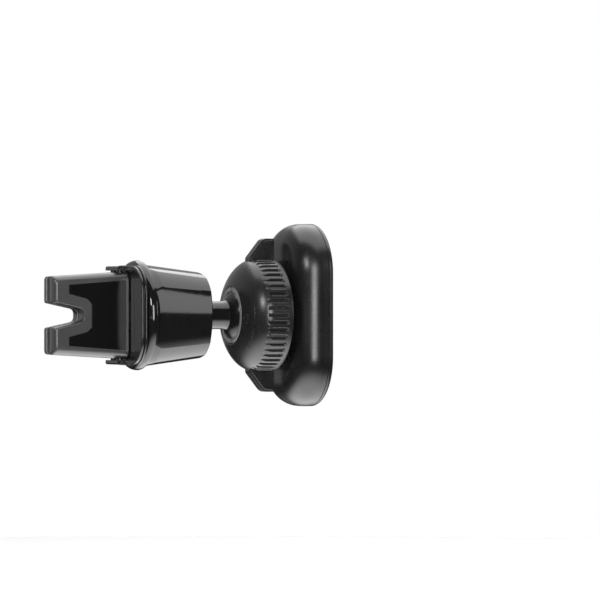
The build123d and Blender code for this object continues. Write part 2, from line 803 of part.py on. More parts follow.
# ---- magnetic head ------------------------------------------------------------------------------
screw_places = GridLocations(2 * post_y, 2 * post_z, 2, 2)
with BuildPart() as back_shell:
    add(rounded_block(head_width, head_height, head_corner, head_back, shell_depth, back_round))
    add(
        rounded_block(
            head_width - 2 * shell_wall,
            head_height - 2 * shell_wall,
            head_corner - shell_wall,
            head_back + shell_wall,
            shell_depth,
            back_round - shell_wall,
        ),
        mode=Mode.SUBTRACT,
    )
    post_start = head_back + shell_wall / 2
    with BuildSketch(Plane.YZ.offset(post_start)):
        with screw_places:
            Circle(post_radius)
    extrude(amount=yoke_x - post_start)
    with BuildSketch(Plane.YZ.offset(head_back + shell_wall)):
        with screw_places:
            Circle(screw_radius)
    extrude(amount=yoke_x, mode=Mode.SUBTRACT)
    with BuildSketch(Plane.YZ.offset(head_back)):
        Circle(spigot_radius + seat_gap)
        with GridLocations(2 * mount_place, 2 * mount_place, 2, 2):
            Circle(screw_radius + seat_gap)
    extrude(amount=shell_wall, mode=Mode.SUBTRACT)
write(back_shell, "back_shell")

inner_width = head_width - 2 * shell_wall
inner_height = head_height - 2 * shell_wall
skirt_wall = 1.0
skirt_length = 1.2
tray_inset = skirt_wall + 0.4  # tray inside the shell's wall
tray_width = inner_width - 2 * tray_inset
tray_height = inner_height - 2 * tray_inset
tray_corner = head_corner - shell_wall - tray_inset

with BuildPart() as steel_yoke:
    add(rounded_block(tray_width - 2, tray_height - 2, tray_corner - 1, yoke_x, yoke_thick))
    with BuildSketch(Plane.YZ.offset(yoke_x)):
        with screw_places:
            Circle(screw_radius + 2 * seat_gap)
    extrude(amount=yoke_thick, mode=Mode.SUBTRACT)
write(steel_yoke, "steel_yoke")

magnet_places = GridLocations(magnet_pitch_y, magnet_pitch_z, 2, 3)
tray_floor = 1.8  # under the screw heads
tray_screw_head = tray_x + tray_floor
with BuildPart() as magnet_tray:
    add(rounded_block(tray_width, tray_height, tray_corner, tray_x, magnet_thick))
    with BuildSketch(Plane.YZ.offset(tray_x)):
        with magnet_places:
            Circle(magnet_radius + seat_gap / 2)
        with screw_places:
            Circle(screw_radius + seat_gap)
    extrude(amount=magnet_thick, mode=Mode.SUBTRACT)
    with BuildSketch(Plane.YZ.offset(tray_screw_head)):
        with screw_places:
            Circle(screw_head_radius + seat_gap)
    extrude(amount=magnet_thick, mode=Mode.SUBTRACT)
write(magnet_tray, "magnet_tray")

for number, place in enumerate(magnet_places, start=1):
    with BuildPart() as magnet:
        with BuildSketch(Plane.YZ.offset(tray_x)):
            with Locations((place.position.X, place.position.Y)):
                Circle(magnet_radius)
        extrude(amount=magnet_thick)
        chamfer(magnet.edges().filter_by(GeomType.CIRCLE), length=0.2)
    write(magnet, "magnet_" + str(number))

with BuildPart() as tray_screws:
    for place in screw_places:
        with Locations((0, place.position.X, place.position.Y)):
            add(pan_screw(tray_screw_head, head_back + shell_wall + 0.4, screw_head_radius, screw_radius))
write(tray_screws, "tray_screws")

with BuildPart() as face_plate:
    add(rounded_block(head_width, head_height, head_corner, shell_front, face_thick))
    fillet(face_plate.edges().group_by(Axis.X)[-1], radius=face_round)
    # skirt that snaps into the back shell
    with BuildSketch(Plane.YZ.offset(shell_front)):
        RectangleRounded(
            inner_width - 2 * seat_gap, inner_height - 2 * seat_gap, head_corner - shell_wall - seat_gap
        )
        RectangleRounded(
            inner_width - 2 * (seat_gap + skirt_wall),
            inner_height - 2 * (seat_gap + skirt_wall),
            head_corner - shell_wall - seat_gap - skirt_wall,
            mode=Mode.SUBTRACT,
        )
    extrude(amount=-skirt_length)
    with BuildSketch(Plane.YZ.offset(pad_front - pad_thick)):
        RectangleRounded(
            head_width - 2 * pad_border + 0.1, head_height - 2 * pad_border + 0.1, head_corner - pad_border
        )
    extrude(amount=pad_thick, mode=Mode.SUBTRACT)
write(face_plate, "face_plate")

with BuildPart() as face_pad:
    add(
        rounded_block(
            head_width - 2 * pad_border,
            head_height - 2 * pad_border,
            head_corner - pad_border,
            pad_front - pad_thick,
            pad_thick,
        )
    )
    fillet(face_pad.edges().group_by(Axis.X)[-1], radius=0.3)
write(face_pad, "face_pad")
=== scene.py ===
import bmesh
import bpy
from math import asin, atan2, cos, hypot, pi, radians, sin, sqrt
from mathutils import Matrix, Vector


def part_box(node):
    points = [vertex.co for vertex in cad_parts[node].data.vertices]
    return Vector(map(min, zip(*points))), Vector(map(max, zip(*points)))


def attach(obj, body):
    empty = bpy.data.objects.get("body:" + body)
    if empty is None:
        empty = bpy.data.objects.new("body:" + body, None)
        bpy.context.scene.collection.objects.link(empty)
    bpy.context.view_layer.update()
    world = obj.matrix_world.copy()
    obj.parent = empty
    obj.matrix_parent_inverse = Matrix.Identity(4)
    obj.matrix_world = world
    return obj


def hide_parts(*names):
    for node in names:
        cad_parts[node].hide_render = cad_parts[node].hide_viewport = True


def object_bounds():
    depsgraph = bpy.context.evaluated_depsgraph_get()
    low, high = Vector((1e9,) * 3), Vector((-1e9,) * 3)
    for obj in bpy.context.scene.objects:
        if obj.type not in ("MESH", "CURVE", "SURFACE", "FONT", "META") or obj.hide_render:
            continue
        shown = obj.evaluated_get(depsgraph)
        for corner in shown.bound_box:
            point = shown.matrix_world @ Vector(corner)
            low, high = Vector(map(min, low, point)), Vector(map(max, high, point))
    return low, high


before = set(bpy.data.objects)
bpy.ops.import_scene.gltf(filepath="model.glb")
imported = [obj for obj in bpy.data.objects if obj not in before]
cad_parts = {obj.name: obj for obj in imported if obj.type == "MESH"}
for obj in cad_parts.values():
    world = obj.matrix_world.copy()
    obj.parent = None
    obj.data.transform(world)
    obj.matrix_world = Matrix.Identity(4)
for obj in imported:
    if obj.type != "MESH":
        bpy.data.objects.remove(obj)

cad_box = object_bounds()
mm = 0.001

# ---- Studio ----------------------------------------------------------------
# A pale round floor below the mount and a white surround.  Soft lamps: a big one overhead, a
# square one at the right, a tall strip in front and a small one high at the left.
scene = bpy.context.scene
scene.view_settings.view_transform = "Standard"
middle = Vector(((cad_box[0][0] + cad_box[1][0]) / 2, 0, 0))


def aimed(thing, place, target):
    """Put a lamp or the camera at a place, looking at the target."""
    thing.location = place
    way = Vector(target) - Vector(place)
    thing.rotation_euler = way.to_track_quat("-Z", "Y").to_euler()


def softbox(name, place, width, height, power):
    """A rectangular studio lamp that looks at the middle of the mount."""
    lamp = bpy.data.lights.new(name, "AREA")
    lamp.shape = "RECTANGLE"
    lamp.size = width
    lamp.size_y = height
    lamp.energy = power
    box = bpy.data.objects.new(name, lamp)
    scene.collection.objects.link(box)
    aimed(box, place, middle)


softbox("overhead", (0.22, 0.15, 0.62), 1.10, 1.20, 11.0)
softbox("right_front", (0.52, -0.50, 0.155), 0.26, 0.30, 0.75)
softbox("front_strip", (-0.38, -1.24, 0.10), 0.42, 0.75, 11.0)
softbox("left_high", (-0.48, -0.38, 0.27), 0.13, 0.13, 1.6)

world = bpy.data.worlds.new("surround")
scene.world = world
world.use_nodes = True
sky = world.node_tree
sky.nodes.clear()
dim = sky.nodes.new("ShaderNodeBackground")
way = sky.nodes.new("ShaderNodeTexCoord")
parts = sky.nodes.new("ShaderNodeSeparateXYZ")
behind = sky.nodes.new("ShaderNodeMapRange")
behind.interpolation_type = "SMOOTHSTEP"
behind.inputs["From Min"].default_value = -0.15
behind.inputs["From Max"].default_value = 0.65
behind.inputs["To Min"].default_value = 0.05
behind.inputs["To Max"].default_value = 0.55
sky.links.new(way.outputs["Generated"], parts.inputs["Vector"])
sky.links.new(parts.outputs["Y"], behind.inputs["Value"])
sky.links.new(behind.outputs["Result"], dim.inputs["Strength"])
bright = sky.nodes.new("ShaderNodeBackground")
bright.inputs["Color"].default_value = (1, 1, 1, 1)
rays = sky.nodes.new("ShaderNodeLightPath")
either = sky.nodes.new("ShaderNodeMixShader")
sky_out = sky.nodes.new("ShaderNodeOutputWorld")
sky.links.new(rays.outputs["Is Camera Ray"], either.inputs["Fac"])
sky.links.new(dim.outputs[0], either.inputs[1])
sky.links.new(bright.outputs[0], either.inputs[2])
sky.links.new(either.outputs[0], sky_out.inputs[0])

lens = bpy.data.cameras.new("camera")
lens.sensor_width = 36
lens.lens = 258.6
lens.clip_start = 0.05
camera = bpy.data.objects.new("camera", lens)
scene.collection.objects.link(camera)
look_at = Vector((69.9, -13.0, 4.25)) * mm
camera_way = Vector((-0.399, -0.917, 0))
camera_distance = 1.2
aimed(camera, look_at + camera_way * camera_distance, look_at)
scene.camera = camera

floor_height = -0.10
floor_mesh = bpy.data.meshes.new("floor")
bm = bmesh.new()
bmesh.ops.create_circle(bm, cap_ends=True, segments=128, radius=0.7)
bmesh.ops.translate(bm, verts=bm.verts, vec=(0.04, 0, floor_height))
bm.to_mesh(floor_mesh)
bm.free()
floor = bpy.data.objects.new("floor", floor_mesh)
scene.collection.objects.link(floor)
paper_and_painted_glow = bpy.data.materials.new("paper_and_painted_glow")
paper_and_painted_glow.use_nodes = True
sheet = paper_and_painted_glow.node_tree.nodes["Principled BSDF"]
sheet.inputs["Base Color"].default_value = (0.9, 0.9, 0.9, 1)
sheet.inputs["Roughness"].default_value = 0.8
# painted pool of light: glossy rays see no lit paper but a glow from the floor itself, strong in the
# middle and nearly dark farther out, so shiny parts show a painted bright reflection from below
painted_pool_glow = paper_and_painted_glow.node_tree.nodes.new("ShaderNodeEmission")
floor_rays = paper_and_painted_glow.node_tree.nodes.new("ShaderNodeLightPath")
floor_place = paper_and_painted_glow.node_tree.nodes.new("ShaderNodeTexCoord")
from_middle = paper_and_painted_glow.node_tree.nodes.new("ShaderNodeVectorMath")
from_middle.operation = "DISTANCE"
from_middle.inputs[1].default_value = (0.06, 0, floor_height)
pool = paper_and_painted_glow.node_tree.nodes.new("ShaderNodeMapRange")
pool.interpolation_type = "SMOOTHSTEP"
pool.inputs["From Min"].default_value = 0.04
pool.inputs["From Max"].default_value = 0.16
pool.inputs["To Min"].default_value = 4.2
pool.inputs["To Max"].default_value = 0.04
chosen = paper_and_painted_glow.node_tree.nodes.new("ShaderNodeMixShader")
join = paper_and_painted_glow.node_tree.links.new
join(floor_place.outputs["Object"], from_middle.inputs[0])
join(from_middle.outputs["Value"], pool.inputs["Value"])
join(pool.outputs["Result"], painted_pool_glow.inputs["Strength"])
join(floor_rays.outputs["Is Glossy Ray"], chosen.inputs["Fac"])
join(sheet.outputs[0], chosen.inputs[1])
join(painted_pool_glow.outputs[0], chosen.inputs[2])
join(chosen.outputs[0], paper_and_painted_glow.node_tree.nodes["Material Output"].inputs["Surface"])
floor.data.materials.append(paper_and_painted_glow)

# ---- Clip housing ---------------------------------------------------------------
# The clip's backbone, injection moulded in satin black plastic: a rounded square flange and a
# stepped tube that the wedge slides in and the collar turns on.


def moulded(name, colour, roughness, grain, depth, specular=0.5, worn=0.04):
    """Moulded plastic or rubber: fine mould grain, cloudy handling marks, paler rubbed edges."""
    look = bpy.data.materials.new(name)
    look.use_nodes = True
    nodes = look.node_tree.nodes
    links = look.node_tree.links
    shader = nodes["Principled BSDF"]
    shader.inputs["Specular IOR Level"].default_value = specular
    place = nodes.new("ShaderNodeTexCoord")
    fine = nodes.new("ShaderNodeTexNoise")
    fine.inputs["Scale"].default_value = 1 / grain
    fine.inputs["Detail"].default_value = 3
    links.new(place.outputs["Object"], fine.inputs["Vector"])
    bump = nodes.new("ShaderNodeBump")
    bump.inputs["Strength"].default_value = 0.6
    bump.inputs["Distance"].default_value = depth
    links.new(fine.outputs["Fac"], bump.inputs["Height"])
    links.new(bump.outputs["Normal"], shader.inputs["Normal"])
    cloud = nodes.new("ShaderNodeTexNoise")
    cloud.inputs["Scale"].default_value = 160
    cloud.inputs["Detail"].default_value = 5
    links.new(place.outputs["Object"], cloud.inputs["Vector"])
    spread = nodes.new("ShaderNodeMapRange")
    spread.inputs["From Min"].default_value = 0.3
    spread.inputs["From Max"].default_value = 0.7
    spread.inputs["To Min"].default_value = roughness * 0.88
    spread.inputs["To Max"].default_value = roughness * 1.12
    links.new(cloud.outputs["Fac"], spread.inputs["Value"])
    links.new(spread.outputs["Result"], shader.inputs["Roughness"])
    edge = nodes.new("ShaderNodeNewGeometry")
    rubbed = nodes.new("ShaderNodeMapRange")
    rubbed.inputs["From Min"].default_value = 0.53
    rubbed.inputs["From Max"].default_value = 0.66
    links.new(edge.outputs["Pointiness"], rubbed.inputs["Value"])
    tint = nodes.new("ShaderNodeMix")
    tint.data_type = "RGBA"
    tint.inputs["A"].default_value = (*colour, 1)
    tint.inputs["B"].default_value = (colour[0] + worn, colour[1] + worn, colour[2] + worn, 1)
    links.new(rubbed.outputs["Result"], tint.inputs["Factor"])
    links.new(tint.outputs["Result"], shader.inputs["Base Color"])
    return look


def finished(name, bm, body, slot, look, *stands_for, crease=32):
    """Make a bmesh into a smooth-shaded piece that rides on its body."""
    mesh = bpy.data.meshes.new(name)
    bm.to_mesh(mesh)
    bm.free()
    mesh.shade_smooth()
    mesh.set_sharp_from_angle(angle=radians(crease))
    mesh.materials.append(look)
    piece = bpy.data.objects.new(name, mesh)
    scene.collection.objects.link(piece)
    even = piece.modifiers.new("even_normals", "WEIGHTED_NORMAL")
    even.keep_sharp = True
    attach(piece, body)
    if stands_for:
        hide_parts(*stands_for)
    return piece


def outline(bm, x, half_width, half_height, corner, steps=12):
    """A loop of edges across the mount: a rectangle with round corners.  Sizes in mm."""
    before = set(bm.faces)
    square = bmesh.ops.create_grid(bm, x_segments=1, y_segments=1, size=1)["verts"]
    for v in square:
        v.co = Vector((x, v.co.x * half_width, v.co.y * half_height)) * mm
    if corner:
        bmesh.ops.bevel(bm, geom=square, offset=corner * mm, affect="VERTICES",
                        segments=steps, profile=0.5, material=-1)
    face = next(f for f in bm.faces if f not in before)
    edges = list(face.edges)
    bmesh.ops.delete(bm, geom=[face], context="FACES_ONLY")
    return edges


def ring(bm, x, radius, steps=96):
    """A loop of edges across the mount: a circle.  Sizes in mm."""
    made = bmesh.ops.create_circle(bm, segments=steps, radius=radius * mm)["verts"]
    bmesh.ops.rotate(bm, verts=made, matrix=Matrix.Rotation(pi / 2, 3, "Y"))
    bmesh.ops.translate(bm, verts=made, vec=(x * mm, 0, 0))
    return list(dict.fromkeys(e for v in made for e in v.link_edges))


def pulled(bm, faces, way):
    """Extrude a patch of faces along a way in mm."""
    made = bmesh.ops.extrude_face_region(bm, geom=faces)["geom"]
    bmesh.ops.translate(bm, verts=[g for g in made if isinstance(g, bmesh.types.BMVert)],
                        vec=Vector(way) * mm)


def raised(bm, edges, way):
    """Fill flat loops of edges, holes and all, and give the face a thickness."""
    flat = bmesh.ops.triangle_fill(bm, use_beauty=True, edges=edges)["geom"]
    pulled(bm, [g for g in flat if isinstance(g, bmesh.types.BMFace)], way)
    bmesh.ops.recalc_face_normals(bm, faces=bm.faces)


def turned(bm, profile, steps=128):
    """Spin an open or closed profile of (x, radius) points, in mm, into a closed round piece."""
    verts = [bm.verts.new((x * mm, 0, r * mm)) for x, r in profile]
    edges = [bm.edges.new((a, b)) for a, b in zip(verts, verts[1:]) if a.co.z + b.co.z > 0]
    bmesh.ops.spin(bm, geom=verts + edges, cent=(0, 0, 0), axis=(1, 0, 0), dvec=(0, 0, 0),
                   angle=2 * pi, steps=steps, use_merge=True, use_duplicate=False)
    bmesh.ops.remove_doubles(bm, verts=bm.verts, dist=0.0005 * mm)
    bmesh.ops.recalc_face_normals(bm, faces=bm.faces)


def eased(piece, width, segments=3, least=35):
    """Round the piece's sharp edges, as its mould leaves them."""
    rounding = piece.modifiers.new("eased_edges", "BEVEL")
    rounding.width = width * mm
    rounding.segments = segments
    rounding.limit_method = "ANGLE"
    rounding.angle_limit = radians(least)
    rounding.miter_outer = "MITER_ARC"
    piece.modifiers.move(len(piece.modifiers) - 1, 0)


def span(node):
    """A node's lowest and highest corners, in mm."""
    low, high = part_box(node)
    return Vector(low) / mm, Vector(high) / mm


clip_black = moulded("clip_black", (0.010, 0.010, 0.011), 0.24, 0.16 * mm, 0.010 * mm)
housing_high = span("clip_housing")[1]
plate_low, plate_high = span("hinge_plate")
lock_low, lock_high = span("retaining_ring")
flange_front = plate_high.x
flange_thick = 0.6
flange_back = flange_front + flange_thick
tube_radius = 8.2
tube_bore = 6.4
bore_end = 39.6
journal_radius = 10.0
journal_end = 27.2
bm = bmesh.new()
flange_edges = outline(bm, flange_front, housing_high.y, housing_high.z, 8.25)
flange_edges += ring(bm, flange_front, tube_bore + 0.4)
raised(bm, flange_edges, (flange_thick, 0, 0))
flange = finished("clip_flange", bm, "clip", "black_plastic", clip_black, "clip_housing")
eased(flange, 0.2)
bm = bmesh.new()
turned(bm, [(flange_front, tube_bore), (flange_front, tube_bore + 0.38), (flange_back, 9.6),
            (flange_back, journal_radius), (journal_end, journal_radius),
            (journal_end, tube_radius), (lock_low.x, tube_radius),
            (lock_low.x, tube_radius - 0.7), (lock_high.x, tube_radius - 0.7),
            (lock_high.x, tube_radius), (housing_high.x, tube_radius), (housing_high.x, 0),
            (bore_end, 0), (bore_end, tube_bore), (flange_front, tube_bore)])
tube = finished("clip_tube", bm, "clip", "black_plastic", clip_black, "clip_housing")
eased(tube, 0.12, 2)

# ---- Hinge plate ----------------------------------------------------------------
# The clip's front plate, in the same black plastic: it is pegged onto the flange, the tails of
# the jaws pass through its window, and its two lugs hold the hinge pins.
plate_back = plate_high.x
plate_front = plate_back - 1.0
window_half_width = 4.7
window_half_height = 4.2
bm = bmesh.new()
plate_edges = outline(bm, plate_front, plate_high.y, plate_high.z, 8.0)
plate_edges += outline(bm, plate_front, window_half_width, window_half_height, 0)
raised(bm, plate_edges, (0.98, 0, 0))
plate = finished("hinge_plate_front", bm, "clip", "black_plastic", clip_black, "hinge_plate")
eased(plate, 0.3, 4)
lug_inner = 12.4
lug_half_width = 4.6
pocket_depth = 1.2
pocket_low = Vector((19.25, 0, lug_inner + 0.16))
pocket_high = Vector((20.4, 0, plate_high.z - 0.14))


def pocket_cut(bm, faces, low, high, way):
    """Sink a square pocket, between two corners in mm, into the flat faces of one side."""
    for at, across in ((low, (1, 0, 0)), (high, (1, 0, 0)), (low, (0, 0, 1)), (high, (0, 0, 1))):
        flat = faces()
        rims = dict.fromkeys(part for f in flat for part in (*f.edges, *f.verts))
        bmesh.ops.bisect_plane(bm, geom=flat + list(rims), dist=0.001 * mm, plane_co=at * mm,
                               plane_no=across)
    mouth = []
    for f in faces():
        c = f.calc_center_median() / mm
        if low.x < c.x < high.x and low.z < c.z < high.z:
            mouth.append(f)
    pulled(bm, mouth, way)
    bmesh.ops.delete(bm, geom=mouth, context="FACES_ONLY")


for side in (1, -1):
    bm = bmesh.new()
    bmesh.ops.create_cube(bm, size=1)
    low = Vector((plate_low.x, -lug_half_width, lug_inner))
    high = Vector((plate_front + 0.05, lug_half_width, plate_high.z))
    for v in bm.verts:
        v.co = Vector([low[i] if v.co[i] < 0 else high[i] for i in range(3)]) * mm
    nose = [e for e in bm.edges if all(v.co.x < (low.x + 0.1) * mm for v in e.verts)]
    nose = [e for e in nose if all(v.co.z > (high.z - 0.1) * mm for v in e.verts)]
    bmesh.ops.bevel(bm, geom=nose, offset=0.5 * mm, affect="EDGES", segments=6,
                    profile=0.5, material=-1)
    # a square moulding pocket in each end
    for end in (1, -1):
        pocket_cut(bm, lambda: [f for f in bm.faces if f.calc_center_median().y * end
                                > (lug_half_width - 0.01) * mm],
                   pocket_low, pocket_high, (0, -end * pocket_depth, 0))
    if side < 0:
        bmesh.ops.mirror(bm, geom=bm.verts[:] + bm.edges[:] + bm.faces[:],
                         matrix=Matrix.Identity(4), merge_dist=-1, axis="Z")
        bmesh.ops.delete(bm, geom=[v for v in bm.verts if v.co.z > 0], context="VERTS")
    bmesh.ops.recalc_face_normals(bm, faces=bm.faces)
    lug = finished("hinge_lug_" + ("top" if side > 0 else "bottom"), bm, "clip",
                   "black_plastic", clip_black, "hinge_plate")
    eased(lug, 0.09, 2)

# ---- Jaws -----------------------------------------------------------------------
# Two mirrored jaws, each a stiff black plastic core overmoulded with a matt dark grey rubber
# sleeve.  A panel of the core shows on the outer face, inside the rubber border.
sleeve_rubber = moulded("sleeve_rubber", (0.036, 0.036, 0.037), 0.33, 0.09 * mm, 0.012 * mm, 0.8)
panel_black = moulded("panel_black", (0.004, 0.004, 0.0045), 0.16, 0.6 * mm, 0.004 * mm, 0.4)
jaw_low, jaw_high = span("jaw_pad_left")
jaw_outer = jaw_low.y
jaw_inner = jaw_high.y
jaw_back = jaw_high.x
tip_half = 10.75
root_half = jaw_high.z
notch_depth = 8.8
notch_mouth = 3.41
notch_bottom = 1.54
side_round = 2.2
tip_round = 1.3
notch_round = 0.4
lean_end = notch_depth + 0.5
lean_at_tip = 0.75
spring_low, spring_high = span("jaw_spring")
spring_room = Vector((0.45, 0.3, 0.45))
panel_top = [(21.3, 9.75), (4.4, 8.45), (4.4, 5.9), (9.9, 4.5), (11.1, 3.3)]
panel_border = panel_top + [(x, -z) for x, z in reversed(panel_top)]
panel_proud = 0.08


def rounded_corner(before, corner, after, size):
    """Points round a corner that is cut back by a size along both of its edges."""
    start = corner + (before - corner).normalized() * size
    end = corner + (after - corner).normalized() * size
    return [start * (1 - t) ** 2 + corner * 2 * t * (1 - t) + end * t**2
            for t in [i / 6 for i in range(7)]]


def jaw_row(bm, y, side_in, tip_in, notch_in):
    """The jaw's outline at one depth, drawn in from its sides, its tips and its notch."""
    rise = (root_half - tip_half) / jaw_back
    half = [(jaw_back, root_half - side_in), (tip_in, tip_half + rise * tip_in - side_in),
            (tip_in, notch_mouth + notch_in), (notch_depth + notch_in, notch_bottom + notch_in)]
    corners = [Vector(p) for p in half + [(x, -z) for x, z in reversed(half)]]
    sizes = (0.3, 0.9, 0.6, 1.5, 1.5, 0.6, 0.9, 0.3)
    points = []
    for i, size in enumerate(sizes):
        points += rounded_corner(corners[i - 1], corners[i], corners[(i + 1) % 8], size)
    return [bm.verts.new(Vector((p.x, y, p.y)) * mm) for p in points]


for side, hand in (("left", 1), ("right", -1)):
    bm = bmesh.new()
    # outer face: a big rounding along the top and bottom, smaller ones at the tip and notch
    rows = []
    for i in range(11):
        a = pi / 2 * i / 10
        share = 1 - sin(a)
        rows.append(jaw_row(bm, jaw_outer + side_round * (1 - cos(a)), side_round * share,
                            tip_round * share, notch_round * share))
    rows.append(jaw_row(bm, jaw_inner - 0.25, 0, 0, 0))
    rows.append(jaw_row(bm, jaw_inner - 0.07, 0.07, 0.07, 0.07))
    rows.append(jaw_row(bm, jaw_inner, 0.25, 0.25, 0.25))
    for one, two in zip(rows, rows[1:]):
        for k in range(len(one)):
            bm.faces.new((one[k - 1], one[k], two[k], two[k - 1]))
    bm.faces.new(rows[0])
    bm.faces.new(rows[-1])
    bmesh.ops.recalc_face_normals(bm, faces=bm.faces)
    # the spring's end sits in a pocket in the gripping face
    pocket_cut(bm, lambda: [f for f in bm.faces
                            if all(v.co.y > (jaw_inner - 0.01) * mm for v in f.verts)],
               spring_low - spring_room, spring_high + spring_room,
               (0, spring_low.y - spring_room.y - jaw_inner, 0))
    bmesh.ops.recalc_face_normals(bm, faces=bm.faces)
    # the gripping face leans back towards the tip
    bmesh.ops.bisect_plane(bm, geom=bm.verts[:] + bm.edges[:] + bm.faces[:], dist=0.001 * mm,
                           plane_co=(lean_end * mm, 0, 0), plane_no=(1, 0, 0))
    for v in bm.verts:
        if v.co.y > (jaw_inner - 0.3) * mm and v.co.x < lean_end * mm:
            v.co.y -= lean_at_tip * mm * (1 - v.co.x / (lean_end * mm))
    if hand < 0:
        bmesh.ops.scale(bm, vec=(1, -1, 1), verts=bm.verts)
        bmesh.ops.reverse_faces(bm, faces=bm.faces)
    finished("jaw_sleeve_" + side, bm, side + "_jaw", "grey_rubber", sleeve_rubber,
             "jaw_pad_" + side)
    # the core's panel stands a hair proud of the rubber
    bm = bmesh.new()
    bm.faces.new([bm.verts.new(Vector((x, jaw_outer - panel_proud, z)) * mm)
                  for x, z in panel_border])
    bmesh.ops.bevel(bm, geom=bm.verts[:], offset=0.3 * mm, affect="VERTICES", segments=3,
                    profile=0.5, material=-1)
    pulled(bm, bm.faces[:], (0, 0.4, 0))
    if hand < 0:
        bmesh.ops.scale(bm, vec=(1, -1, 1), verts=bm.verts)
    bmesh.ops.recalc_face_normals(bm, faces=bm.faces)
    panel = finished("jaw_panel_" + side, bm, side + "_jaw", "jaw_black", panel_black, crease=15)
    eased(panel, 0.08, 3, 60)

# ---- Twist collar -----------------------------------------------------------------
# The ring that the fingers turn, moulded in polished black plastic: a rolled front lip, four big
# gently convex sides with a small facet at each corner, and a plain bore inside.
collar_gloss = moulded("collar_gloss", (0.006, 0.006, 0.0065), 0.10, 1.2 * mm, 0.010 * mm)
collar_low, collar_high = span("twist_collar")
collar_front = collar_low.x
collar_back = collar_high.x
lip_crest = collar_high.z
front_apothem = 14.0
back_apothem = 12.0
side_bulge = 1.4
corner_half = 11.0
turned_by = 3.0
lip_length = 1.9
lip_round = 1.3
wall_start = 28.5
thread_bore = 10.3
bearing_bore = 8.4
bearing_start = 27.8
back_recess = 41.0


def collar_reach(x, angle):
    """How far the faceted wall reaches from the axis, in mm, at a place and an angle."""
    share = (x - wall_start) / (collar_back - wall_start)
    apothem = front_apothem + (back_apothem - front_apothem) * share
    half_side = radians(45 - corner_half)
    corner = (apothem - side_bulge) / cos(half_side)
    off = (angle - turned_by + 45) % 90 - 45
    if abs(off) > 45 - corner_half:
        return corner
    # a shallow arc through both corners and the middle of the side
    half_chord = corner * sin(half_side)
    rise = apothem - corner * cos(half_side)
    radius = (half_chord**2 + rise**2) / (2 * rise)
    centre = apothem - radius
    a = radians(off)
    return centre * cos(a) + sqrt(radius**2 - (centre * sin(a)) ** 2)


def lip_reach(x):
    """The rolled lip's own outline."""
    past = x - collar_front - lip_length
    if past < 0:
        return lip_crest - lip_round * (1 - sqrt(max(0, 1 - (past / lip_length) ** 2)))
    return lip_crest - 1.05 * (past / 1.4) ** 2


outside = [collar_front + lip_length * (1 - cos(pi / 2 * i / 14)) for i in range(1, 15)]
outside += [collar_front + lip_length + 0.1 * i for i in range(1, 24)]
outside += [28.7 + 1.7 * i for i in range(9)]
outside += [collar_back - 0.4 * cos(pi / 2 * i / 6) for i in range(7)]
bm = bmesh.new()
turned(bm, [(x, front_apothem) for x in outside]
       + [(collar_back - 0.02, thread_bore), (collar_back - 0.3, thread_bore - 0.1),
          (back_recess, thread_bore - 0.1), (back_recess, bearing_bore),
          (bearing_start, bearing_bore), (bearing_start, thread_bore),
          (collar_front + 0.2, thread_bore), (collar_front + 0.02, thread_bore + 0.3),
          (outside[0], front_apothem)], steps=360)
for v in bm.verts:
    x = v.co.x / mm
    reach = hypot(v.co.y, v.co.z) / mm
    if reach > front_apothem - 0.1:
        angle = atan2(v.co.z, v.co.y) * 180 / pi
        wall = min(collar_reach(x, angle), lip_crest - 0.06)
        new = lip_reach(x) if x < collar_front + lip_length else max(lip_reach(x), wall)
        if x > collar_back - 0.4:
            new -= 0.4 * (1 - sqrt(max(0, 1 - ((x - collar_back + 0.4) / 0.4) ** 2)))
        v.co.y *= new / reach
        v.co.z *= new / reach
finished("collar_shell", bm, "collar", "gloss_black", collar_gloss, "twist_collar", crease=13)

# ---- Ball stud --------------------------------------------------------------------
# A round flange, a slim neck and a 17 mm ball, turned and polished in one black part and held in
# the tube's end by three screws.
stud_gloss = moulded("stud_gloss", (0.006, 0.006, 0.0065), 0.18, 0.5 * mm, 0.004 * mm)
stud_low, stud_high = span("ball_stud")
ball_radius = 8.5
ball_x = stud_high.x - ball_radius
neck = 3.9
flange_radius = 9.8
stud_back = 44.0
stud_profile = [(stud_low.x, 0), (stud_low.x, flange_radius - 0.2),
                (stud_low.x + 0.15, flange_radius), (stud_back - 0.15, flange_radius),
                (stud_back, flange_radius - 0.15), (stud_back, 5.0), (stud_back + 0.15, 4.4),
                (stud_back + 0.6, neck), (51.2, neck)]
start = pi - asin((neck + 0.25) / ball_radius)
for i in range(40):
    turn = start * (1 - i / 40)
    stud_profile.append((ball_x + ball_radius * cos(turn), ball_radius * sin(turn)))
stud_profile.append((ball_x + ball_radius, 0))
bm = bmesh.new()
turned(bm, stud_profile, steps=96)
finished("stud", bm, "clip", "gloss_black", stud_gloss, "ball_stud")

# ---- Slip ring ---------------------------------------------------------------------
# A dark grey acetal ring in the nut's mouth, which the nut presses against the ball.  Two short
# notches in its face take the tool that turns it.
ring_acetal = moulded("ring_acetal", (0.15, 0.15, 0.155), 0.34, 0.2 * mm, 0.01 * mm)
ring_low, ring_high = span("slip_ring")
seat_radius = ball_radius + 0.08
notch_half = 1.0
bm = bmesh.new()
seat = []
for i in range(9):
    x = ring_low.x + 0.55 + 0.37 * i
    seat.append((x, sqrt(seat_radius**2 - (ball_x - x) ** 2)))
turned(bm, [(ring_low.x, 6.75), (ring_low.x + 0.12, 6.62)] + seat
       + [(ring_high.x, 10.7), (ring_low.x + 2.0, 10.1), (ring_low.x + 0.9, 7.88),
          (ring_low.x + 0.15, 7.88), (ring_low.x, 7.75), (ring_low.x, 6.75)], steps=128)
for v in bm.verts:
    if v.co.x < (ring_low.x + 0.3) * mm and abs(v.co.y) < notch_half * mm:
        v.co.x += 0.75 * mm
finished("slip_ring_body", bm, "slip", "dark_acetal", ring_acetal, "slip_ring")

